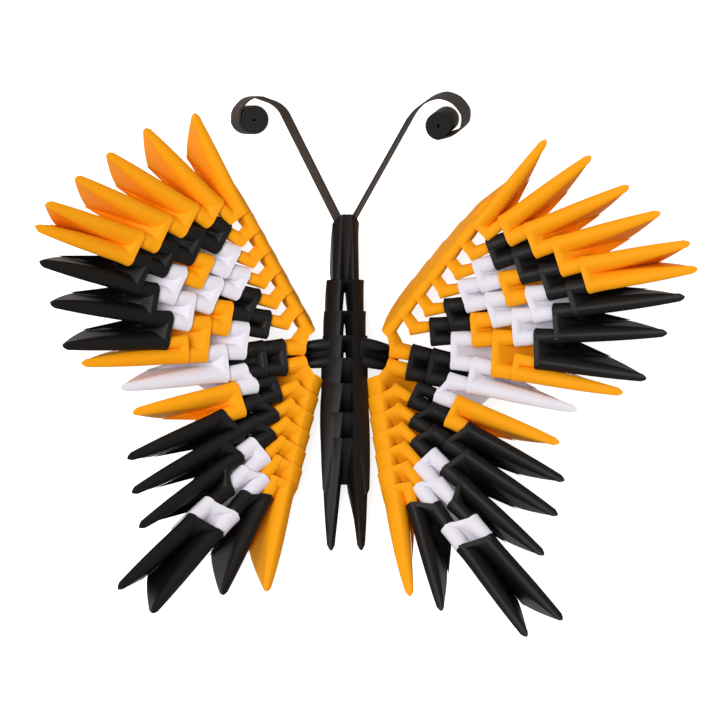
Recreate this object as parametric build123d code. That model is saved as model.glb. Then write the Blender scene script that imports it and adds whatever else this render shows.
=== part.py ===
from build123d import *
import os
from math import cos, pi, radians, sin, sqrt, tan

# A butterfly of interlocked folded paper modules, lying flat with its upper side up.
# X runs across the wings, Y from the tail to the head, and Z up, towards the wings' upper faces.

# One module: a paper rectangle folded to a triangle, then in half, with a pocket in each of its two legs
paper_short_side = 37.0
leg_length = paper_short_side / sqrt(2)
spine_length = paper_short_side / 2
spine_drop = spine_length / sqrt(2)
paper_wall = 0.15
fold_width = 0.4
filled_half_width = 1.75
empty_half_width = 1.1
tip_half_width = 0.35

# Corners of a leg's mouth, round from its upper side: shares of the spine's length and of the half width
mouth_corner_shares = {
    "ridge": (0, 0.45),
    "shoulder": (0.06, 0.88),
    "flank": (0.2, 1),
    "bottom": (1, 0.12),
    "far_bottom": (1, -0.12),
    "far_flank": (0.2, -1),
    "far_shoulder": (0.06, -0.88),
    "far_ridge": (0, -0.45),
}
corner_names = list(mouth_corner_shares)
SHOULDER, FLANK, BOTTOM = map(corner_names.index, ("shoulder", "flank", "bottom"))
FAR_BOTTOM, FAR_FLANK, FAR_SHOULDER = map(corner_names.index, ("far_bottom", "far_flank", "far_shoulder"))

# A leg's faces fall towards its tip, so a leg pushed one row into the next pocket stays inside its walls
tip_drop = filled_half_width - tip_half_width
pocket_lag = paper_wall * leg_length / tip_drop

# Steps from one row of modules to the next
row_pitch = 4.8
leading_edge_pitch = 5.4
trailing_edge_pitch = 4.3
tail_pitch = 5.9

# The wings: how they rise from the body, how much each row tips up against the row before it,
# and where the arm that carries each one meets the body's side
wing_rise_degrees = 6.0
row_curl_degrees = 2.2
arm_leg_gap = 1.9
arm_seat_gap = 0.15
leg_gap = 0.25

# Straight chains of nested legs, called rays, numbered from the leading edge down to the trailing edge.
# Each has its first and last row, the ray that its first leg opens beside, the side of that ray
# (1 towards the head, -1 towards the tail), its angle on the right and on the left wing, and its pitch.
ray_plan = {
    9: (0, 7, None, 0, -11.0, -4.5, row_pitch),
    10: (0, 5, 9, -1, -13.0, -7.0, row_pitch),
    0: (1, 7, 9, 1, 51.5, 59.5, leading_edge_pitch),
    18: (1, 7, 10, -1, -82.5, -75.0, trailing_edge_pitch),
    6: (2, 10, 0, -1, 6.5, 12.0, row_pitch),
    5: (3, 11, 0, -1, 8.5, 15.0, row_pitch),
    4: (4, 11, 0, -1, 11.0, 17.0, row_pitch),
    3: (5, 10, 0, -1, 16.5, 22.0, row_pitch),
    2: (6, 9, 0, -1, 23.5, 29.0, row_pitch),
    1: (7, 8, 0, -1, 37.5, 42.0, row_pitch),
    12: (2, 6, 18, 1, -28.5, -21.5, row_pitch),
    13: (3, 7, 18, 1, -34.0, -26.5, row_pitch),
    14: (4, 8, 18, 1, -42.0, -32.0, row_pitch),
    15: (5, 10, 18, 1, -48.0, -37.5, tail_pitch),
    16: (6, 10, 18, 1, -55.5, -45.5, tail_pitch),
    17: (7, 8, 18, 1, -76.0, -61.0, row_pitch),
    7: (3, 9, 6, -1, 1.5, 6.5, row_pitch),
    8: (7, 8, 9, 1, -9.0, -2.5, row_pitch),
    11: (3, 5, 12, 1, -22.0, -12.0, row_pitch),
}

# The modules of a wing, row by row from the body outwards: upper ray, lower ray and paper colour
wing_rows = [
    [(9, 10, "black")],
    [(0, 9, "orange"), (10, 18, "orange")],
    [(0, 6, "orange"), (9, 10, "black"), (12, 18, "orange")],
    [(0, 5, "orange"), (6, 7, "black"), (9, 10, "black"), (11, 12, "black"), (13, 18, "orange")],
    [(0, 4, "orange"), (5, 6, "black"), (7, 9, "white"), (10, 11, "white"), (12, 13, "black"),
     (14, 18, "orange")],
    [(0, 3, "orange"), (4, 5, "white"), (6, 7, "orange"), (9, 10, "white"), (11, 12, "orange"),
     (13, 14, "black"), (15, 18, "orange")],
    [(0, 2, "orange"), (3, 4, "white"), (5, 6, "white"), (7, 9, "orange"), (12, 13, "black"),
     (14, 15, "white"), (16, 18, "orange")],
    [(0, 1, "orange"), (2, 3, "black"), (4, 5, "orange"), (6, 7, "white"), (8, 9, "orange"),
     (13, 14, "black"), (15, 16, "white"), (17, 18, "orange")],
    [(1, 2, "orange"), (3, 4, "black"), (5, 6, "white"), (7, 8, "black"), (14, 15, "black"),
     (16, 17, "black")],
    [(2, 3, "orange"), (4, 5, "black"), (6, 7, "black"), (15, 16, "white")],
    [(3, 4, "orange"), (5, 6, "black"), (15, 16, "black")],
    [(4, 5, "orange")],
]

# The body: one straight stack of modules, closed ends towards the head
body_stack_length = 51.7
body_row_shares = [0, 0.29, 0.43, 0.54, 0.64, 0.755, 0.885, 1]
body_leg_gap = 0.5
body_spread_degrees = 1.3
arm_place_share = 0.58

# The antennae: paper strips on edge, each with its foot in one of the head's pockets and its end coiled
strip_width = 5.5
strip_thickness = 0.25
strip_foot_depth = 1.3
strip_below_top = 0.8
coil_outer_radius = 3.4
coil_inner_radius = 0.9
coil_turns = 4
coil_steps_per_turn = 10
antenna_reach = 26.0
antenna_rise = 27.6

# Each antenna's bends and coil centre as shares of its reach and rise, the angle where its coil begins,
# the way the coil winds, and how far its lower edge leans out across and along, as shares of the strip's width
antenna_shapes = {
    "left": ([(-0.555, 0.91), (-0.82, 0.995), (-0.955, 0.872)], (-0.828, 0.79), 172, 1, (-0.22, 0.08)),
    "right": ([(0.58, 0.86), (0.765, 0.985), (0.905, 0.985), (1.02, 0.90), (1.06, 0.80), (1.01, 0.69)],
              (0.835, 0.755), 290, -1, (0.5, 0.34)),
}


def wing_frame(side, rays):
    """Origin and axes of one wing's plane: outwards, towards the head, and square off its upper face."""
    rise = radians(wing_rise_degrees)
    outward = Vector(side * cos(rise), 0, sin(rise))
    forward = Vector(0, 1, 0)
    up = Vector(-side * sin(rise), 0, cos(rise))
    arm_rays = [ray for ray in rays.values() if ray.first_row == 0]
    arm_end = min(ray.start.X - abs(ray.aside.X) * empty_half_width for ray in arm_rays)
    return Vector(side * (arm_seat_x - arm_end), arm_seat_y, wing_level(rays)), outward, forward, up


class Leg:
    """One leg of a module: a thin-walled cone from its slanted mouth to its tip, hollow as a pocket."""

    def __init__(self, start, along, aside, up, half_width):
        tip = start + along * leg_length - up * tip_drop
        down_spine = (along - up) * (1 / sqrt(2))
        self.mouth = []
        for depth_share, width_share in mouth_corner_shares.values():
            point = start + down_spine * (depth_share * spine_length)
            self.mouth.append(point + aside * (width_share * half_width))
        self.tips = [tip + aside * tip_half_width, tip - aside * tip_half_width]
        # The pocket is the same cone set back along the leg, and cut off at the plane of the mouth
        set_back = along * pocket_lag
        square_to_mouth = (along + up) * (1 / sqrt(2))
        self.pocket_tips = [point - set_back for point in self.tips]
        self.pocket = []
        for corner, point in enumerate(self.mouth):
            edge = self.tip_of(corner) - point
            reach = set_back.dot(square_to_mouth) / edge.dot(square_to_mouth)
            self.pocket.append(point - set_back + edge * reach)

    def tip_of(self, corner):
        """The end of the tip on a corner's own side."""
        return self.tips[0] if corner <= BOTTOM else self.tips[1]

    def fold_line(self, corner):
        """The point on a corner's edge where the spine's fold ends."""
        edge = self.tip_of(corner) - self.mouth[corner]
        return self.mouth[corner] + edge * (fold_width / edge.length)


def flat_face(*points):
    """A flat face with straight edges round the given points."""
    return Face(Wire.make_polygon(points, close=True))


def cone_faces(corners, tips, folds):
    """The faces of a leg's outside or of its pocket, from the corners of its mouth to its tip."""
    upper_tip, lower_tip = tips
    faces = [flat_face(corners[-1], corners[0], upper_tip, lower_tip)]
    faces.append(flat_face(corners[BOTTOM], corners[FAR_BOTTOM], lower_tip, upper_tip))
    side_edges = list(range(BOTTOM)) + list(range(FAR_BOTTOM, len(corners) - 1))
    for corner in side_edges:
        tip = upper_tip if corner < BOTTOM else lower_tip
        first, second = corners[corner], corners[corner + 1]
        first_fold, second_fold = folds.get(corner), folds.get(corner + 1)
        if first_fold and second_fold:
            faces.append(flat_face(first_fold, second_fold, tip))
        elif first_fold:
            faces.append(flat_face(first, second, tip, first_fold))
        elif second_fold:
            faces.append(flat_face(first, second, second_fold, tip))
        else:
            faces.append(flat_face(first, second, tip))
    return faces


def leg_faces(leg, fold_corners):
    """All faces of one leg but the strip where the spine's fold joins it."""
    folds = {corner: leg.fold_line(corner) for corner in fold_corners}
    outline = Wire.make_polygon(leg.mouth, close=True)
    opening = Wire.make_polygon(leg.pocket, close=True)
    return cone_faces(leg.mouth, leg.tips, folds) + cone_faces(leg.pocket, leg.pocket_tips, {}) + [
        Face(outline, [opening])
    ]


def split_face(first, second, third, fourth):
    """Two flat faces that together close four points which need not lie in one plane."""
    return [flat_face(first, second, third), flat_face(first, third, fourth)]


def module(upper, lower):
    """One folded module: two legs and the fold of its spine between their facing sides."""
    top_a, low_a = upper.mouth[FAR_SHOULDER], upper.mouth[FAR_FLANK]
    top_b, low_b = lower.mouth[SHOULDER], lower.mouth[FLANK]
    back_top_a, back_low_a = upper.fold_line(FAR_SHOULDER), upper.fold_line(FAR_FLANK)
    back_top_b, back_low_b = lower.fold_line(SHOULDER), lower.fold_line(FLANK)
    faces = leg_faces(upper, (FAR_SHOULDER, FAR_FLANK)) + leg_faces(lower, (SHOULDER, FLANK))
    faces += split_face(top_a, low_a, low_b, top_b)
    faces += split_face(back_top_a, back_top_b, back_low_b, back_low_a)
    faces += split_face(top_a, top_b, back_top_b, back_top_a)
    faces += split_face(low_a, back_low_a, back_low_b, low_b)
    return Solid(Shell(faces))


class Ray:
    """A chain of legs on a wing, by its first leg's place, its angle, first row and pitch."""

    def __init__(self, start, degrees, first_row, pitch):
        self.start = start
        self.flat = Vector(cos(radians(degrees)), sin(radians(degrees)), 0)
        self.aside = Vector(-sin(radians(degrees)), cos(radians(degrees)), 0)
        self.first_row = first_row
        self.pitch = pitch

    def along(self, row):
        """The way the leg of one row points, which tips up by the wing's curl."""
        curl = radians(row_curl_degrees * row)
        return self.flat * cos(curl) + Vector(0, 0, sin(curl))

    def up(self, row):
        """The way square off the upper side of the leg of one row."""
        curl = radians(row_curl_degrees * row)
        return Vector(0, 0, cos(curl)) - self.flat * sin(curl)

    def place(self, row):
        """Where the leg of one row starts: each leg's step follows the leg behind it."""
        point = self.start
        for step in range(self.first_row, row):
            point = point + self.along(step) * self.pitch
        return point

    def half_width(self, row):
        """A first leg's pocket is empty, and stays slim."""
        return empty_half_width if row == self.first_row else filled_half_width


def wing_rays(angle_column):
    """Every ray of one wing. A new ray starts with its mouth's corner at its neighbour's mouth corner."""
    rays = {}
    for number, plan in ray_plan.items():
        first_row, neighbour, neighbour_side, pitch = plan[0], plan[2], plan[3], plan[-1]
        ray = Ray(Vector(0, 0, 0), plan[angle_column], first_row, pitch)
        if neighbour is not None:
            beside = rays[neighbour]
            gap = arm_leg_gap if first_row == 0 else leg_gap
            offset = beside.aside * beside.half_width(first_row) + ray.aside * ray.half_width(first_row)
            offset = offset + (beside.aside + ray.aside).normalized() * gap
            ray.start = beside.place(first_row) + offset * neighbour_side
        rays[number] = ray
    return rays


def wing_level(rays):
    """Height of a wing's root at which its lowest fold corner touches the floor."""
    rise = radians(wing_rise_degrees)
    levels = []
    for row, row_modules in enumerate(wing_rows):
        for upper, lower, colour in row_modules:
            for ray in (rays[upper], rays[lower]):
                corner = ray.place(row) + (ray.along(row) - ray.up(row)) * spine_drop
                levels.append(corner.X * sin(rise) + corner.Z * cos(rise))
    return -min(levels)


def wing_leg(ray, row, frame):
    """The leg of one row on one ray, placed on its wing."""
    origin, outward, forward, up = frame

    def turned(point):
        return outward * point.X + forward * point.Y + up * point.Z

    start = origin + turned(ray.place(row))
    return Leg(start, turned(ray.along(row)), turned(ray.aside), turned(ray.up(row)), ray.half_width(row))


def wing_nodes(side_name, side, angle_column):
    """The modules of one wing, gathered by row and paper colour."""
    rays = wing_rays(angle_column)
    frame = wing_frame(side, rays)
    nodes = {}
    for row, row_modules in enumerate(wing_rows):
        for upper, lower, colour in row_modules:
            name = f"{side_name}_wing_row_{row:02d}_{colour}"
            solid = module(wing_leg(rays[upper], row, frame), wing_leg(rays[lower], row, frame))
            nodes.setdefault(name, []).append(solid)
    return nodes


def body_leg(row, side):
    """One leg of the body's stack, on the left or the right of its middle line."""
    spread = radians(body_spread_degrees)
    distance = body_stack_length * body_row_shares[row]
    along = Vector(side * sin(spread), -cos(spread), 0)
    aside = Vector(side * cos(spread), sin(spread), 0)
    foot = Vector(side * body_leg_offset, 0, spine_drop)
    half_width = empty_half_width if row == 0 else filled_half_width
    return Leg(foot + along * (distance / cos(spread)), along, aside * -side, Vector(0, 0, 1), half_width)


def body_modules():
    """The stack of the body, from the head to the tail."""
    stack = []
    for row in range(len(body_row_shares)):
        stack.append(module(body_leg(row, -1), body_leg(row, 1)))
    return stack


def antenna(shape, side):
    """A strip of paper on edge: straight up from the head's pocket, bent over, and wound into a coil."""
    bends, centre_shares, begin_degrees, winding, lean_shares = shape
    head = Vector(side * body_leg_offset, 0)
    line = []
    for across_share, up_share in bends:
        line.append(Vector(across_share * antenna_reach, up_share * antenna_rise))
    inwards = (head - line[0]).normalized()
    line.insert(0, head + inwards * strip_foot_depth)
    centre = Vector(centre_shares[0] * antenna_reach, centre_shares[1] * antenna_rise)
    steps = coil_turns * coil_steps_per_turn
    for step in range(steps + 1):
        angle = radians(begin_degrees) + winding * 2 * pi * step / coil_steps_per_turn
        radius = coil_outer_radius + (coil_inner_radius - coil_outer_radius) * step / steps
        line.append(centre + Vector(cos(angle), sin(angle)) * radius)
    across_lean, along_lean = lean_shares
    top = spine_drop - strip_below_top
    width = Vector(across_lean, along_lean, -sqrt(1 - across_lean**2 - along_lean**2)) * strip_width
    return Solid.extrude(strip_edge(line).moved(Location((0, 0, top))), width)


def strip_edge(line):
    """The long edge of a strip: its middle line thickened by half its paper to each side."""
    near, far = [], []
    for index, point in enumerate(line):
        before = line[max(index - 1, 0)]
        after = line[min(index + 1, len(line) - 1)]
        into = (point - before).normalized() if index else (after - point).normalized()
        out = (after - point).normalized() if index < len(line) - 1 else into
        square = Vector(-(into + out).Y, (into + out).X).normalized()
        half = strip_thickness / 2 / square.dot(Vector(-into.Y, into.X))
        near.append(point + square * half)
        far.append(point - square * half)
    return flat_face(*near, *reversed(far))


# The body's legs lie side by side, and each wing's arm seats against the outer one
body_leg_offset = filled_half_width + body_leg_gap / 2 - body_row_shares[1] * body_stack_length * tan(
    radians(body_spread_degrees))
arm_seat_y = -body_stack_length * arm_place_share
arm_seat_x = body_leg_offset - arm_seat_y * tan(radians(body_spread_degrees)) + filled_half_width + arm_seat_gap

nodes = {}
nodes.update(wing_nodes("right", 1, 4))
nodes.update(wing_nodes("left", -1, 5))
stack = body_modules()
nodes["head_module"] = stack[:1]
nodes["collar_module"] = stack[1:2]
nodes["abdomen_modules"] = stack[2:-1]
nodes["tail_module"] = stack[-1:]
nodes["left_antenna"] = [antenna(antenna_shapes["left"], -1)]
nodes["right_antenna"] = [antenna(antenna_shapes["right"], 1)]

# The origin is on the floor, under the middle of the whole butterfly
box = Compound([solid for solids in nodes.values() for solid in solids]).bounding_box()
to_origin = Location((-box.center().X, -box.center().Y, -box.min.Z))

os.makedirs("parts", exist_ok=True)
for name, solids in nodes.items():
    placed = [solid.moved(to_origin) for solid in solids]
    export_step(placed[0] if len(placed) == 1 else Compound(placed), f"parts/{name}.step")
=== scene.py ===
import bpy
import numpy as np
from mathutils import Matrix, Vector


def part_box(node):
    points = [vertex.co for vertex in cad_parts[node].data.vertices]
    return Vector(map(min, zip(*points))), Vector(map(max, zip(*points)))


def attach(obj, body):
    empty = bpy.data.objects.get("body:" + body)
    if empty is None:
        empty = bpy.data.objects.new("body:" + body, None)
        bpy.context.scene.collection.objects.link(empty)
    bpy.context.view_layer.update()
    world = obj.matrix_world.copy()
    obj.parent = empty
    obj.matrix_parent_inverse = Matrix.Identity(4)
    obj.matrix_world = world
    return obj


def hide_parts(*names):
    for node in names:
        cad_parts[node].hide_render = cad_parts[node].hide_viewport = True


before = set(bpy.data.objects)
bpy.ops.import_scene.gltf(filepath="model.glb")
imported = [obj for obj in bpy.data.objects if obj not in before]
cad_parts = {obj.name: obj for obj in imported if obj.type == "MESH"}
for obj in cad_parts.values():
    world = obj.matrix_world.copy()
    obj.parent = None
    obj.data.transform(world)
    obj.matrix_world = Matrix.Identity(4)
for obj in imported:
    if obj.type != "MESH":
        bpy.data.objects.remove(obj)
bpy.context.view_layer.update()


# The body of the butterfly: folded modules of black copy paper in one straight stack.
# Each sheet is folded to a triangle and then in half, so it has two legs with a pocket in each,
# and it holds because its pockets take the legs of the module before it.
MM = 0.001
leg_length = 26.16 * MM
spine_drop = leg_length / 2
tip_drop = 1.4 * MM
tip_half_width = 0.8 * MM
tip_depth = 0.9 * MM
tip_blunt_share = 0.05
mouth_flare = 0.3 * MM
mouth_lift = 0.4 * MM
mouth_fade_share = 0.09
paper_wall = 0.28 * MM
pocket_share = 0.9
pocket_rows = 4
pressed_sink = 0.9 * MM
pressed_run_share = 0.08
pressed_slim_share = 0.6
tuck_start = 8.0 * MM
tuck_run = 4.0 * MM

# The power by which a leg narrows to its tip, and the share of any extra power that its depth takes
plain_fullness = 1.6
deep_fullness_share = 0.25

# The rows of a leg's outside, closer together at its mouth and its tip, where it curves most
mouth_to_tip_shares = np.array([0, 0.03, 0.08, 0.15, 0.21, 0.28, 0.36, 0.48,
                                0.6, 0.72, 0.83, 0.91, 0.95, 0.98, 0.993, 1])


def unit(vector):
    """A vector scaled to length one."""
    return vector / np.linalg.norm(vector)


def ring_faces(rows, columns, first, inward):
    """Quads between the rows of a closed tube whose points are numbered row by row."""
    row, column = np.meshgrid(np.arange(rows - 1), np.arange(columns), indexing="ij")
    here = first + row * columns + column
    beside = first + row * columns + (column + 1) % columns
    quads = np.stack([here, beside, beside + columns, here + columns], axis=-1).reshape(-1, 4)
    return quads[:, ::-1] if inward else quads


rounding_points = 7
under_points = 5
flank_points = rounding_points + under_points
closing_share = 0.9
closing_power = 1.3
swell_power = 0.7


def flank_profile(half_width, shoulder, roundness, slant, fold_run, bulge=0.0):
    """One side of a leg's mouth, from its ridge to its deep fold: width share, width, drop and run.

    Down to the shoulder it is a quarter of a superellipse. Below, it closes to the fold by a power of
    the depth, and its bulge swells it there by half a sine wave. The run is how far the edge of the
    mouth leans out along the leg, to the sheet's corner. It ends with the fold's own run.
    """
    arc = np.linspace(0, np.pi / 2, rounding_points)
    under = np.linspace(0, 1, under_points + 1)[1:]
    shape = np.concatenate([np.sin(arc) ** (2 / roundness), 1 - closing_share * under ** closing_power])
    swell = np.concatenate([0 * arc, bulge * np.sin(np.pi * under ** swell_power)])
    rounding = (1 - np.cos(arc) ** (2 / roundness)) * shoulder
    drop = np.concatenate([rounding, shoulder + under * (spine_drop - shoulder)])
    lean = slant * shoulder
    run = np.concatenate([slant * rounding, lean + under * (fold_run - lean)])
    return np.stack([shape, (shape + swell) * half_width, drop, run])


class Leg:
    """One leg of a module, by its mouth's upper corner, its three axes and the profiles of its flanks.

    The roll turns the leg about its upper ridge, so that its deep fold leans away from the aside axis.
    The leg enters the next module's pocket at a share of its length, which is 1 for a free leg.
    The fuller the leg, the longer it keeps its width on the way to its tip. The tuck is the share
    of its depth by which its deep fold is pushed up where it lies inside the next module.
    """

    def __init__(self, start, along, aside, up, near_flank, far_flank, roll,
                 enters=1.0, fullness=plain_fullness, tuck=0):
        self.start, self.along, self.level = start, along, up
        self.enters, self.fullness, self.tuck = enters, fullness, tuck
        self.aside = aside * np.cos(roll) - up * np.sin(roll)
        self.up = up * np.cos(roll) + aside * np.sin(roll)
        mirrored = np.array([-1, -1, 1, 1])[:, None]
        self.section = np.concatenate([near_flank, (far_flank * mirrored)[:, -1:0:-1]], axis=1)

    def surface(self, reach, inset):
        """Points for shares of the way to the tip, in rows, round the section, in columns.

        Each edge of the mouth runs straight to the tip. The half width narrows to the tip's by a power
        of the way, and the depth by a lower power. The tip is rounded off by a square root. At the
        mouth the leg flares and its ridge lifts, by an exponential. In the next pocket it is pressed
        slim, and past the tuck's start its deep fold rises evenly to the tuck. The inset moves the
        points inwards, for the pocket's wall.
        """
        shape, sideways, drop, run = self.section
        reach = reach[:, None]
        left = 1 - reach ** self.fullness
        blunt = np.clip((1 - reach) / tip_blunt_share, 0, 1) ** 0.5
        rim = np.exp(-reach / mouth_fade_share)
        flare = mouth_flare * rim - inset
        across = ((sideways + shape * flare) * left + shape * tip_half_width * (1 - left)) * blunt
        depth = drop / spine_drop
        deep_power = 1 + (self.fullness - plain_fullness) * deep_fullness_share
        down = (drop + inset * (1 - 2 * depth)) * (1 - reach ** deep_power)
        down = down + tip_depth * depth * reach * blunt
        down = down - mouth_lift * rim * (1 - depth)
        pressed = np.clip((reach - self.enters) / pressed_run_share, 0, 1)
        across = across * (1 - pressed_slim_share * pressed)
        down = down + pressed_sink * pressed * (1 - depth)
        onward = leg_length * reach + run * (1 - reach)
        tucked = np.clip((onward - tuck_start) / tuck_run, 0, 1)
        down = down * (1 - self.tuck * depth * tucked)
        points = self.start + self.along * onward[..., None] - self.level * (tip_drop * reach)[..., None]
        return points + self.aside * across[..., None] - self.up * down[..., None]

    def flank_edge(self, reach, near):
        """The points of one flank at a share of the way to the tip, from its ridge to its deep fold."""
        around = self.surface(np.array([reach]), 0)[0]
        half = len(around) // 2 + 1
        return around[:half] if near else np.roll(around[::-1], 1, axis=0)[:half]

    def shell(self):
        """The leg's paper: its outside, the edge of its mouth and the wall of its pocket, all closed."""
        outside = self.surface(mouth_to_tip_shares, 0)
        pocket = self.surface(np.linspace(0, pocket_share, pocket_rows), paper_wall)
        rows, columns = outside.shape[:2]
        inner_first = rows * columns
        column = np.arange(columns)
        beside = (column + 1) % columns
        edge = np.stack([column, inner_first + column, inner_first + beside, beside], axis=-1)
        outer_faces = ring_faces(rows, columns, 0, False)
        pocket_faces = ring_faces(pocket_rows, columns, inner_first, True)
        points = np.concatenate([outside.reshape(-1, 3), pocket.reshape(-1, 3)])
        return points, np.concatenate([outer_faces, pocket_faces, edge])


fold_thickness = 0.25 * MM


def sheet_shell(face, level):
    """A closed thin sheet: a grid of points, the same grid set down by the fold's thickness, and the rim."""
    points = np.concatenate([face.reshape(-1, 3), (face - level * fold_thickness).reshape(-1, 3)])
    count = face.shape[0] * face.shape[1]
    number = np.arange(count).reshape(face.shape[:2])
    corner = [number[:-1, :-1], number[1:, :-1], number[1:, 1:], number[:-1, 1:]]
    top = np.stack([part.ravel() for part in corner], axis=-1)
    rim = np.concatenate([number[0, :], number[1:, -1], number[-1, -2::-1], number[-2:0:-1, 0]])
    after = np.roll(rim, -1)
    side = np.stack([rim, after, after + count, rim + count], axis=-1)
    return points, np.concatenate([top, top[:, ::-1] + count, side])


web_rows = 8
web_columns = 9
web_edge_share = 0.1
web_below_ridge = 0.12 * MM
web_front_sag = 0.05 * MM
web_sink_power = 1.6


def fold_web(left, right, length, depth):
    """The folded spine between a body module's ridges, which closes its front and slants down inside.

    Across, it hangs as half an ellipse. Along the legs, it sinks to its depth by a power of the way.
    """
    onward = np.linspace(0, 1, web_rows)[:, None, None]
    across = np.linspace(web_edge_share, 1 - web_edge_share, web_columns)[None, :, None]
    first = left.start + left.along * length * onward
    second = right.start + right.along * length * onward
    reach = onward * length / leg_length
    sink = web_below_ridge - mouth_lift * np.exp(-reach / mouth_fade_share) + tip_drop * reach
    sag = web_front_sag + depth * onward ** web_sink_power
    sink = sink + sag * np.sqrt(4 * across * (1 - across))
    level = unit(left.level + right.level)
    return sheet_shell(first * (1 - across) + second * across - level * sink, level)


def facing_out(points, quads):
    """The quads of a closed shell, turned where needed so that its signed volume is above nought."""
    first, second, third, fourth = [points[quads[:, corner]] for corner in range(4)]
    halves = np.cross(second - first, third - first) + np.cross(third - first, fourth - first)
    volume = np.sum((first - points[0]) * halves)
    return quads if volume > 0 else quads[:, ::-1]


crease_angle = np.radians(38)


def paper_piece(name, shells):
    """A mesh object, at the origin, of several closed shells given as points and quads.

    It is shaded smooth, and sharp along edges that turn by more than the crease angle.
    """
    points, quads, count = [], [], 0
    for shell_points, shell_quads in shells:
        points.append(shell_points)
        quads.append(facing_out(shell_points, shell_quads) + count)
        count += len(shell_points)
    mesh = bpy.data.meshes.new(name)
    mesh.from_pydata(np.concatenate(points).tolist(), [], np.concatenate(quads).tolist())
    mesh.shade_smooth()
    mesh.set_sharp_from_angle(angle=crease_angle)
    piece = bpy.data.objects.new(name, mesh)
    bpy.context.scene.collection.objects.link(piece)
    return piece


def linear(colour):
    """An sRGB hex colour as linear red, green, blue and alpha: straight near black, a power above it."""
    share = np.array([int(colour[place:place + 2], 16) for place in (1, 3, 5)]) / 255
    value = np.where(share <= 0.04045, share / 12.92, ((share + 0.055) / 1.055) ** 2.4)
    return (*value, 1.0)


def add_node(material, kind, settings=None, links=None):
    """Adds one shader node, sets its properties or inputs, and links its inputs from other nodes."""
    node = material.node_tree.nodes.new(kind)
    for key, value in (settings or {}).items():
        if key in node.inputs:
            node.inputs[key].default_value = value
        else:
            setattr(node, key, value)
    for key, (source, output) in (links or {}).items():
        material.node_tree.links.new(source.outputs[output], node.inputs[key])
    return node


# Paper fibres, drawn several times coarser than real ones so that they show, and low in height.
# The mix numbers are the sockets of the mix node's two colours and its result.
fibre_size = 0.35 * MM
fibre_detail = 3.0
fibre_height = 0.05 * MM
fibre_bump_strength = 0.12
mix_first_colour = 6
mix_second_colour = 7
mix_result_colour = 2


def dyed_paper(name, colour, fibre_colour, roughness, gloss):
    """Copy paper dyed in the pulp: matt, with a faint noise of fibres in its colour and its relief."""
    material = bpy.data.materials.new(name)
    material.use_nodes = True
    material.node_tree.nodes.clear()
    place = add_node(material, "ShaderNodeTexCoord")
    fibre = add_node(material, "ShaderNodeTexNoise", {"Scale": 1 / fibre_size, "Detail": fibre_detail},
                     {"Vector": (place, "Object")})
    tint = add_node(material, "ShaderNodeMix", {"data_type": "RGBA"}, {0: (fibre, "Fac")})
    tint.inputs[mix_first_colour].default_value = linear(colour)
    tint.inputs[mix_second_colour].default_value = linear(fibre_colour)
    bump = add_node(material, "ShaderNodeBump", {"Strength": fibre_bump_strength, "Distance": fibre_height},
                    {"Height": (fibre, "Fac")})
    paper = add_node(material, "ShaderNodeBsdfPrincipled",
                     {"Roughness": roughness, "Specular IOR Level": gloss},
                     {"Base Color": (tint, mix_result_colour), "Normal": (bump, "Normal")})
    add_node(material, "ShaderNodeOutputMaterial", {}, {"Surface": (paper, "BSDF")})
    return material


def finish_piece(piece, material, slot_name, *nodes):
    """Gives a piece its paper and its place in the object, and hides the solids that it stands for."""
    piece.data.materials.append(material)
    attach(piece, "root")
    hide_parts(*nodes)


# Black copy paper: deep and matt, with a soft grey sheen on the ridges that face the light
black_paper = dyed_paper("black_copy_paper", "#0B0908", "#130F0D", roughness=0.5, gloss=0.26)

head_low, head_high = [np.array(corner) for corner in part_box("head_module")]
nose = np.array([(head_low[0] + head_high[0]) / 2, head_high[1], head_low[2]])
stack_length = 51.7 * MM
head_row = 0
collar_row = 1
stack_roundness = 1.35
head_slant = 0.9
stack_slant = 0.1

# Each module of the stack, from head to tail: its place along the stack, its ridges' distance from the
# middle, its legs' spread and outward roll, the half width of a leg outwards and inwards, the height of
# its shoulder, and the length and depth of the fold between its legs
stack_row_shares = [0, 0.29, 0.43, 0.54, 0.64, 0.755, 0.885, 1]
tail_row = len(stack_row_shares) - 1
stack_ridges = np.array([1.1, 1.45, 1.35, 1.2, 1.1, 1.0, 1.05, 1.2]) * MM
stack_spreads = np.radians([2.5, 3.5, 4.0, 4.0, 5.0, 8.0, 6.0, 5.2])
stack_rolls = np.radians([1, 3, 3, 4, 5, 5, 5, 0])
stack_outer = np.array([1.6, 2.5, 3.1, 3.5, 3.7, 3.7, 3.7, 3.7]) * MM
stack_inner = np.array([1.5, 1.5, 1.5, 1.4, 1.3, 1.3, 1.3, 1.3]) * MM
stack_shoulders = np.array([2.4, 3.2, 3.6, 3.6, 3.6, 3.6, 3.6, 3.6]) * MM
stack_web_lengths = np.array([16, 3, 3, 4, 9, 9, 9, 11]) * MM
stack_web_depths = np.array([1.2, 5.0, 5.0, 5.0, 5.0, 5.0, 5.0, 5.0]) * MM


def stack_leg(row, side):
    """One leg of the stack, left (-1) or right (1) of the middle: it points back and out by its spread."""
    spread = stack_spreads[row]
    along = np.array([side * np.sin(spread), -np.cos(spread), 0])
    aside = np.array([-np.cos(spread), -side * np.sin(spread), 0])
    up = np.array([0, 0, 1.0])
    slant = head_slant if row == head_row else stack_slant
    outer, inner = [flank_profile(half_width, stack_shoulders[row], stack_roundness, slant, spine_drop)
                    for half_width in (stack_outer[row], stack_inner[row])]
    near_and_far = (inner, outer) if side > 0 else (outer, inner)
    start = nose + np.array([side * stack_ridges[row], -stack_length * stack_row_shares[row], spine_drop])
    return Leg(start, along, aside, up, *near_and_far, side * stack_rolls[row])


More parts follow.
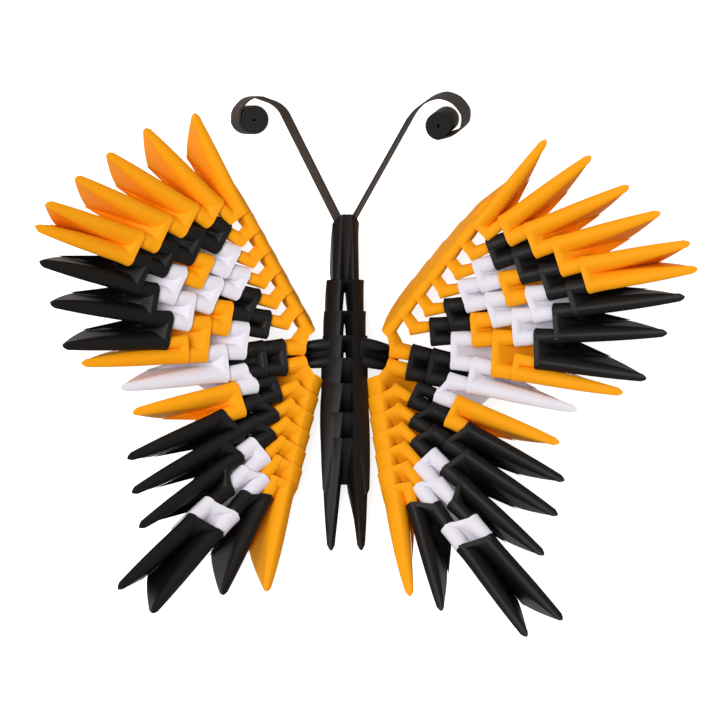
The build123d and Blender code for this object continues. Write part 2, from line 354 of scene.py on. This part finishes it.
def stack_module(row):
    """One module of the stack: its left leg, its right leg and the fold between them."""
    left, right = stack_leg(row, -1), stack_leg(row, 1)
    web = fold_web(left, right, stack_web_lengths[row], stack_web_depths[row])
    return [left.shell(), right.shell(), web]


finish_piece(paper_piece("head", stack_module(head_row)), black_paper, "black_paper", "head_module")
finish_piece(paper_piece("collar", stack_module(collar_row)), black_paper, "black_paper", "collar_module")
abdomen = [shell for row in range(collar_row + 1, tail_row) for shell in stack_module(row)]
finish_piece(paper_piece("abdomen", abdomen), black_paper, "black_paper", "abdomen_modules")
finish_piece(paper_piece("tail", stack_module(tail_row)), black_paper, "black_paper", "tail_module")


# The wings: fans of orange, black and white modules, pushed into each other row by row.
# Each chain of nested legs is a ray. New rays open at the edges, where a module's second leg starts
# beside an older ray, and the whole fan tips up a little more with every row.
row_pitch = 4.8 * MM
leading_edge_pitch = 5.4 * MM
trailing_edge_pitch = 4.3 * MM
wing_tail_pitch = 5.9 * MM
leading_ray = 0
trailing_ray = 18
arm_rays = (9, 10)
arm_row = 0

# Ray: first row, last row, neighbour, side of the neighbour, degrees on the right and left wing, pitch
ray_plan = {
    9: (0, 7, None, 0, -11.0, -4.5, row_pitch),
    10: (0, 5, 9, -1, -13.0, -7.0, row_pitch),
    0: (1, 7, 9, 1, 51.5, 59.5, leading_edge_pitch),
    18: (1, 7, 10, -1, -82.5, -75.0, trailing_edge_pitch),
    6: (2, 10, 0, -1, 6.5, 12.0, row_pitch),
    5: (3, 11, 0, -1, 8.5, 15.0, row_pitch),
    4: (4, 11, 0, -1, 11.0, 17.0, row_pitch),
    3: (5, 10, 0, -1, 16.5, 22.0, row_pitch),
    2: (6, 9, 0, -1, 23.5, 29.0, row_pitch),
    1: (7, 8, 0, -1, 37.5, 42.0, row_pitch),
    12: (2, 6, 18, 1, -28.5, -21.5, row_pitch),
    13: (3, 7, 18, 1, -34.0, -26.5, row_pitch),
    14: (4, 8, 18, 1, -42.0, -32.0, row_pitch),
    15: (5, 10, 18, 1, -48.0, -37.5, wing_tail_pitch),
    16: (6, 10, 18, 1, -55.5, -45.5, wing_tail_pitch),
    17: (7, 8, 18, 1, -76.0, -61.0, row_pitch),
    7: (3, 9, 6, -1, 1.5, 6.5, row_pitch),
    8: (7, 8, 9, 1, -9.0, -2.5, row_pitch),
    11: (3, 5, 12, 1, -22.0, -12.0, row_pitch),
}

# The modules row by row from the body outwards: upper ray, lower ray and paper
wing_rows = [
    [(9, 10, "black")],
    [(0, 9, "orange"), (10, 18, "orange")],
    [(0, 6, "orange"), (9, 10, "black"), (12, 18, "orange")],
    [(0, 5, "orange"), (6, 7, "black"), (9, 10, "black"), (11, 12, "black"), (13, 18, "orange")],
    [(0, 4, "orange"), (5, 6, "black"), (7, 9, "white"), (10, 11, "white"), (12, 13, "black"),
     (14, 18, "orange")],
    [(0, 3, "orange"), (4, 5, "white"), (6, 7, "orange"), (9, 10, "white"), (11, 12, "orange"),
     (13, 14, "black"), (15, 18, "orange")],
    [(0, 2, "orange"), (3, 4, "white"), (5, 6, "white"), (7, 9, "orange"), (12, 13, "black"),
     (14, 15, "white"), (16, 18, "orange")],
    [(0, 1, "orange"), (2, 3, "black"), (4, 5, "orange"), (6, 7, "white"), (8, 9, "orange"),
     (13, 14, "black"), (15, 16, "white"), (17, 18, "orange")],
    [(1, 2, "orange"), (3, 4, "black"), (5, 6, "white"), (7, 8, "black"), (14, 15, "black"),
     (16, 17, "black")],
    [(2, 3, "orange"), (4, 5, "black"), (6, 7, "black"), (15, 16, "white")],
    [(3, 4, "orange"), (5, 6, "black"), (15, 16, "black")],
    [(4, 5, "orange")],
]

# Orange copy paper: bright and matt, and it deepens to red-orange where two folds light each other.
# White copy paper: a cool matt white that takes a warm tint from the orange beside it.
paper_of = {
    "black": black_paper,
    "orange": dyed_paper("orange_copy_paper", "#FFAA12", "#FFA010", roughness=0.6, gloss=0.12),
    "white": dyed_paper("white_copy_paper", "#EEEAF2", "#E6E1EA", roughness=0.6, gloss=0.2),
}

wing_rise = np.radians(6.0)
row_curl = np.radians(2.2)
layout_half_width = 1.75 * MM
layout_first_half_width = 1.1 * MM
leg_gap = 0.25 * MM
arm_leg_gap = 1.9 * MM


class Ray:
    """A chain of legs in a wing's own axes: outwards, towards the head, and off its upper face."""

    def __init__(self, first_row, last_row, degrees, pitch):
        angle = np.radians(degrees)
        self.first_row, self.last_row, self.pitch = first_row, last_row, pitch
        self.flat = np.array([np.cos(angle), np.sin(angle), 0])
        self.aside = np.array([-np.sin(angle), np.cos(angle), 0])
        self.start = np.zeros(3)

    def along(self, row):
        """The way a row's leg points: the ray's direction, tipped up by the curl of all rows so far."""
        return self.flat * np.cos(row_curl * row) + np.array([0, 0, np.sin(row_curl * row)])

    def up(self, row):
        """The way square off a row's upper side."""
        return np.array([0, 0, np.cos(row_curl * row)]) - self.flat * np.sin(row_curl * row)

    def place(self, row):
        """Where a row's leg starts: the sum of the steps along the legs behind it."""
        steps = [self.along(step) * self.pitch for step in range(self.first_row, row)]
        return self.start + sum(steps, np.zeros(3))

    def layout_half(self, row):
        """Half the width that the layout allows for a row's leg, less for the ray's first."""
        return layout_first_half_width if row == self.first_row else layout_half_width


def wing_rays(side):
    """All rays of the right (1) or left (-1) wing.

    Each starts beside its neighbour's leg in the same row, by both half widths and a gap.
    """
    rays = {}
    for number, plan in ray_plan.items():
        first_row, last_row, neighbour, beside_way, right_degrees, left_degrees, pitch = plan
        ray = Ray(first_row, last_row, right_degrees if side > 0 else left_degrees, pitch)
        if neighbour is not None:
            beside = rays[neighbour]
            gap = arm_leg_gap if first_row == arm_row else leg_gap
            offset = beside.aside * beside.layout_half(first_row) + ray.aside * ray.layout_half(first_row)
            offset = offset + unit(beside.aside + ray.aside) * gap
            ray.start = beside.place(first_row) + offset * beside_way
        rays[number] = ray
    return rays


def lowest_corner(rays):
    """Height of the lowest fold corner of a wing over its root: the least of all, turned by the rise."""
    levels = []
    for row, row_modules in enumerate(wing_rows):
        for upper, lower, _ in row_modules:
            for ray in (rays[upper], rays[lower]):
                corner = ray.place(row) + (ray.along(row) - ray.up(row)) * spine_drop
                levels.append(corner[0] * np.sin(wing_rise) + corner[2] * np.cos(wing_rise))
    return min(levels)


front_slant = 0.3
wing_fold_run = 14.0 * MM

# Each kind of flank in the wings: half width, height of the shoulder, roundness and bulge
flank_plan = {
    "outer": (1.9 * MM, 1.5 * MM, 2.0, 0.0),
    "first": (1.25 * MM, 1.1 * MM, 2.0, 0.0),
    "nested_inner": (1.6 * MM, 1.8 * MM, 1.8, 0.0),
    "free_inner": (1.9 * MM, 3.2 * MM, 1.6, 0.0),
    "spread_inner": (1.7 * MM, 2.4 * MM, 1.5, 0.0),
    "leading_outer": (1.4 * MM, 1.4 * MM, 2.0, 0.4),
    "leading_inner": (1.0 * MM, 1.4 * MM, 2.0, 0.9),
    "trailing_outer": (3.0 * MM, 3.0 * MM, 1.5, 0.0),
}
wing_flanks = {kind: flank_profile(half_width, shoulder, roundness, front_slant, wing_fold_run, bulge)
               for kind, (half_width, shoulder, roundness, bulge) in flank_plan.items()}


def leg_flanks(number, ray, row, side_by_side):
    """The outer and the inner flank of a row's leg, by its ray, its row and its module's spread."""
    if row == ray.first_row and number not in (leading_ray, trailing_ray):
        return wing_flanks["first"], wing_flanks["first"]
    outer = {leading_ray: "leading_outer", trailing_ray: "trailing_outer"}.get(number, "outer")
    inner = "leading_inner" if number == leading_ray else "spread_inner"
    if side_by_side:
        inner = "free_inner" if row == ray.last_row else "nested_inner"
    return wing_flanks[outer], wing_flanks[inner]


spread_lean = np.radians(3)
fold_seam = 0.05 * MM
nested_lean_share = 0.2
leading_lean = np.radians(-14)
leading_lean_power = 4


def leg_lean(number, ray, row, side_by_side, folds_apart):
    """How far a row's leg leans in to the groove between its module's legs, as an angle.

    Side by side, it is the arcsine of half the folds' distance over their depth, so that two free
    legs' folds meet. Legs that spread lean by a small fixed angle. A nested leg leans by a share of
    that. The leading ray's nested legs lean out instead, less with every row by a power of the row.
    """
    free = row == ray.last_row
    if number == leading_ray and not free:
        return leading_lean * (1 - (row / ray.last_row) ** leading_lean_power)
    lean = spread_lean
    if side_by_side:
        lean = np.arcsin((folds_apart / 2 + fold_seam) / spine_drop)
    return lean if free else nested_lean_share * lean


band_share = 0.035
fold_columns = 7
fold_ease = 1.2 * MM
fold_below = 0.08 * MM
fold_overlap_share = 0.12
overlap_fade_rows = 2
nested_draw_back = 7.5 * MM


def spine_fold(upper, lower, rows):
    """The fold of a module's spine: a level band behind its front, then ruled lines between its flanks.

    The lines run down the inner flanks from the ridges. They reach into both legs by a share of their
    length, which fades out at the deepest rows, and ease away from the band along the flanks' rounding.
    Beside a free leg, the nested leg's ends below the rounding are drawn back evenly, so that the
    fold's end runs aslant from the free leg's deep corner.
    """
    step = np.arange(rows)
    rounding_end = rounding_points - 1
    fade = np.clip((flank_points - overlap_fade_rows - step) / overlap_fade_rows, 0, 1)
    overlap = fold_overlap_share * np.append(1, fade)[:, None]
    across = (np.linspace(0, 1, fold_columns) * (1 + 2 * overlap) - overlap)[..., None]
    one_is_free = max(upper.enters, lower.enters) == 1
    edges = []
    for leg, near in ((upper, False), (lower, True)):
        ease = np.minimum(step, rounding_end) / rounding_end * fold_ease
        if one_is_free and leg.enters < 1:
            ease = ease - np.maximum(step - rounding_end, 0) / under_points * nested_draw_back
        down_flank = leg.flank_edge(band_share, near)[:rows] + leg.along * ease[:, None]
        edges.append(np.concatenate([leg.flank_edge(0, near)[:1], down_flank])[:, None])
    level = unit(upper.level + lower.level)
    return sheet_shell(edges[0] * (1 - across) + edges[1] * across - level * fold_below, level)


side_by_side_angle = np.radians(24)
wing_fullness = 2.3
nested_tuck_share = 0.85
arm_push = 2.5 * MM
nested_fold_rows = flank_points - overlap_fade_rows


def wing_module(rays, upper, lower, row, root, axes):
    """One module of a wing: a leg on each of two rays, and the fold between them.

    The fold reaches down the whole flank beside a free leg, less far between nested legs, and only
    down the rounding between legs that spread, except along the trailing edge.
    """
    pair = [rays[upper], rays[lower]]
    fronts = [ray.place(row) for ray in pair]
    folds = [front + ray.along(row) * spine_drop for ray, front in zip(pair, fronts)]
    folds_apart = np.linalg.norm(folds[0] - folds[1])
    side_by_side = np.dot(pair[0].flat, pair[1].flat) > np.cos(side_by_side_angle)
    legs = []
    for number, ray, place, inwards in ((upper, pair[0], fronts[0], 1), (lower, pair[1], fronts[1], -1)):
        outer, inner = leg_flanks(number, ray, row, side_by_side)
        near_and_far = (outer, inner) if inwards > 0 else (inner, outer)
        roll = inwards * leg_lean(number, ray, row, side_by_side, folds_apart)
        free = row == ray.last_row
        enters = 1.0 if free else ray.pitch / leg_length
        tucked = not free and (number != leading_ray or row == ray.last_row - 1)
        tuck = nested_tuck_share if tucked else 0
        if row == arm_row:
            place = place - ray.along(row) * arm_push
        legs.append(Leg(root + place @ axes, ray.along(row) @ axes, ray.aside @ axes, ray.up(row) @ axes,
                        *near_and_far, roll, enters, wing_fullness, tuck))
    fold_rows = nested_fold_rows
    if side_by_side and row in (pair[0].last_row, pair[1].last_row):
        fold_rows = flank_points
    if not side_by_side and lower != trailing_ray:
        fold_rows = rounding_points
    return [legs[0].shell(), legs[1].shell(), spine_fold(legs[0], legs[1], fold_rows)]


arm_place_share = 0.58
arm_seat_x = 4.24 * MM
for side_name, side in (("right", 1), ("left", -1)):
    rays = wing_rays(side)
    axes = np.array([[side * np.cos(wing_rise), 0, np.sin(wing_rise)], [0, 1, 0],
                     [-side * np.sin(wing_rise), 0, np.cos(wing_rise)]])
    arm_end = min(rays[number].start[0] - abs(rays[number].aside[0]) * layout_first_half_width
                  for number in arm_rays)
    root_x = side * (arm_seat_x - arm_end)
    root = nose + np.array([root_x, -stack_length * arm_place_share, -lowest_corner(rays)])
    for row, row_modules in enumerate(wing_rows):
        shells_by_colour = {}
        for upper, lower, colour in row_modules:
            shells = wing_module(rays, upper, lower, row, root, axes)
            shells_by_colour.setdefault(colour, []).extend(shells)
        for colour, shells in shells_by_colour.items():
            node = f"{side_name}_wing_row_{row:02d}_{colour}"
            piece = paper_piece(f"{side_name}_row_{row:02d}_{colour}", shells)
            finish_piece(piece, paper_of[colour], f"{colour}_paper", node)


# The antennae: two strips of black paper on edge, each with its foot in a pocket of the head.
# They run up from the head, bend over in creases made by hand, and end rolled to tight coils.
# The coils keep the black paper, with layers thicker than the strip's: painted shade that fills the gaps
# between their turns, so that they all but close up to a dark disc.
strip_width = 5.5 * MM
strip_thickness = 0.4 * MM
strip_sides = 4
strip_foot_x = 1.66 * MM
strip_foot_depth = 5.0 * MM
strip_below_top = 0.8 * MM
# The coil's layers are thicker than the strip: painted shade that fills the gaps between its turns
coil_layer = 0.68 * MM
coil_outer_radius = {"left": 3.4 * MM, "right": 3.1 * MM}
coil_inner_radius = 0.35 * MM
coil_turns = 4
coil_steps_per_turn = 32
coil_steps = coil_turns * coil_steps_per_turn
first_cut = 1.3 * MM
second_cut = 0.6 * MM
longest_cut_share = 1 / 3
antenna_reach = 26.0 * MM
antenna_rise = 27.6 * MM

# Each antenna: its bends and its coil's centre as shares of reach and rise, the angle in degrees where
# the coil begins, the way it winds (1 is anticlockwise from above), and how far the strip's lower edge
# leans to the right and forwards, as shares of its width
antenna_shapes = {
    "left": ([(-0.555, 0.91), (-0.82, 0.995), (-0.955, 0.872)], (-0.828, 0.79), 172, 1, (-0.22, 0.08)),
    "right": ([(0.58, 0.86), (0.765, 0.985), (0.905, 0.985), (1.02, 0.90), (1.06, 0.80), (1.01, 0.69)],
              (0.835, 0.755), 290, -1, (0.5, 0.34)),
}


def rounded(line, cut):
    """The line with each inner corner cut off by a length on both its sides, or a third of a short side."""
    run = np.diff(line, axis=0)
    length = np.linalg.norm(run, axis=1)[:, None]
    share = np.minimum(cut / length, longest_cut_share)
    corners = np.stack([line[1:-1] - (run * share)[:-1], line[1:-1] + (run * share)[1:]], axis=1)
    return np.concatenate([line[:1], corners.reshape(-1, 2), line[-1:]])


def strip_line(bend_shares, centre_shares, begin_degrees, winding, side, outer_radius):
    """The strip's middle line seen from above: its foot, its bends, and a spiral of even pitch."""
    scale = np.array([antenna_reach, antenna_rise])
    head = np.array([side * strip_foot_x, 0])
    bends = np.array(bend_shares) * scale
    foot = head + unit(head - bends[0]) * strip_foot_depth
    step = np.linspace(0, 1, coil_steps + 1)
    angle = np.radians(begin_degrees) + winding * 2 * np.pi * coil_turns * step
    radius = outer_radius + (coil_inner_radius - outer_radius) * step
    around = np.stack([np.cos(angle), np.sin(angle)], axis=-1)
    coil = np.array(centre_shares) * scale + around * radius[:, None]
    bent = rounded(rounded(np.concatenate([foot[None], bends, coil[:1]]), first_cut), second_cut)
    return np.concatenate([bent[:-1], coil])


def strip_shell(line, lean_shares):
    """A strip of paper whose upper edge follows the line.

    The line is thickened to both sides, square to its run, and swept down by the width along its lean.
    """
    before, after = np.roll(line, 1, axis=0), np.roll(line, -1, axis=0)
    before[0], after[-1] = line[0], line[-1]
    run = after - before
    run /= np.linalg.norm(run, axis=1)[:, None]
    coiled = np.arange(len(line)) > len(line) - coil_steps
    thickness = np.where(coiled, coil_layer, strip_thickness)
    square = np.stack([-run[:, 1], run[:, 0]], axis=-1) * thickness[:, None] / 2
    width = np.array([*lean_shares, -np.sqrt(1 - np.dot(lean_shares, lean_shares))]) * strip_width
    top = np.array([0, 0, spine_drop - strip_below_top])
    near = np.column_stack([line + square, np.zeros(len(line))]) + nose + top
    far = np.column_stack([line - square, np.zeros(len(line))]) + nose + top
    rings = np.stack([near, far, far + width, near + width], axis=1)
    points = rings.reshape(-1, 3)
    last = len(points) - strip_sides
    caps = np.array([[0, 1, 2, 3], [last + 3, last + 2, last + 1, last]])
    return points, np.concatenate([ring_faces(len(line), strip_sides, 0, True), caps])


# The strips' black paper with painted light: a dark warm grey-brown, lighter than the body, with dull broad
# lights on its bends
strip_paper_painted_light = dyed_paper("black_paper_painted_light", "#2B1E16", "#33251C", roughness=0.6, gloss=0.3)
for side_name, side in (("left", -1), ("right", 1)):
    bend_shares, centre_shares, begin_degrees, winding, lean_shares = antenna_shapes[side_name]
    outer_radius = coil_outer_radius[side_name]
    line = strip_line(bend_shares, centre_shares, begin_degrees, winding, side, outer_radius)
    piece = paper_piece(f"{side_name}_antenna_strip", [strip_shell(line, lean_shares)])
    piece.data.shade_flat()
    finish_piece(piece, strip_paper_painted_light, "black_paper", f"{side_name}_antenna")
    # The coil's faces keep the body's black paper, darker than the strips' painted light: painted shade
    # between its layers
    piece.data.materials.append(black_paper)
    ring = np.arange(len(piece.data.polygons)) // strip_sides
    coiled = ring >= len(line) - coil_steps
    piece.data.polygons.foreach_set("material_index", coiled.astype(int))


# The floor, the light and the camera: a white floor that keeps a faint shadow, one large soft light
# high up on the left, and a camera a little to the left of square above the body.
# The floor glows for the camera alone, so that it is white and throws no more light on the paper.
floor_half = 1.5
floor_glow_strength = 0.75
floor_corners = [(-floor_half, -floor_half, 0), (floor_half, -floor_half, 0),
                 (floor_half, floor_half, 0), (-floor_half, floor_half, 0)]
floor_mesh = bpy.data.meshes.new("floor")
floor_mesh.from_pydata(floor_corners, [], [(0, 1, 2, 3)])
floor = bpy.data.objects.new("floor", floor_mesh)
bpy.context.scene.collection.objects.link(floor)
floor_paint = bpy.data.materials.new("white_floor")
floor_paint.use_nodes = True
floor_paint.node_tree.nodes.clear()
floor_matt = add_node(floor_paint, "ShaderNodeBsdfDiffuse", {"Color": linear("#F4F4F2")})
floor_glow = add_node(floor_paint, "ShaderNodeEmission",
                      {"Color": linear("#FFFFFF"), "Strength": floor_glow_strength})
floor_both = add_node(floor_paint, "ShaderNodeAddShader", {},
                      {0: (floor_matt, "BSDF"), 1: (floor_glow, "Emission")})
floor_ray = add_node(floor_paint, "ShaderNodeLightPath")
floor_mix = add_node(floor_paint, "ShaderNodeMixShader", {},
                     {0: (floor_ray, "Is Camera Ray"), 1: (floor_matt, "BSDF"), 2: (floor_both, "Shader")})
add_node(floor_paint, "ShaderNodeOutputMaterial", {}, {"Surface": (floor_mix, "Shader")})
floor_mesh.materials.append(floor_paint)

sky_strength = 0.4
world = bpy.data.worlds.new("studio")
bpy.context.scene.world = world
world.use_nodes = True
world.node_tree.nodes["Background"].inputs["Color"].default_value = linear("#FFFFFF")
world.node_tree.nodes["Background"].inputs["Strength"].default_value = sky_strength

key_size = 0.5
key_power = 3.5
key_place = Vector((-0.3, 0.06, 0.63))
key_data = bpy.data.lights.new("key", "AREA")
key_data.shape = "DISK"
key_data.size = key_size
key_data.energy = key_power
key = bpy.data.objects.new("key", key_data)
key.location = key_place
key.rotation_euler = (-key_place).to_track_quat("-Z", "Y").to_euler()
bpy.context.scene.collection.objects.link(key)

# The camera's scale, turn and shift put the body where the photograph shows it
image_size = 720
sensor_width = 36.0
camera_distance = 0.7
camera_turn = np.radians(9.0)
pixels_per_metre = 4331.0
aim_behind_nose = 38 * MM
aim_pixel = np.array([347.2, 378.9])
aim = nose + np.array([0, -aim_behind_nose, spine_drop])
image_right = np.array([np.cos(camera_turn), 0, np.sin(camera_turn)])
back = np.array([-np.sin(camera_turn), 0, np.cos(camera_turn)])
image_up = np.cross(back, image_right)
camera_data = bpy.data.cameras.new("camera")
camera_data.sensor_width = sensor_width
camera_data.lens = sensor_width * pixels_per_metre * camera_distance / image_size
camera_data.shift_x = (image_size / 2 - aim_pixel[0]) / image_size
camera_data.shift_y = (aim_pixel[1] - image_size / 2) / image_size
camera = bpy.data.objects.new("camera", camera_data)
camera_axes = Matrix(np.column_stack([image_right, image_up, back]).tolist())
camera.matrix_world = Matrix.Translation(Vector(aim + back * camera_distance)) @ camera_axes.to_4x4()
bpy.context.scene.collection.objects.link(camera)
bpy.context.scene.camera = camera

scene_view = bpy.context.scene.view_settings
scene_view.view_transform = "Standard"
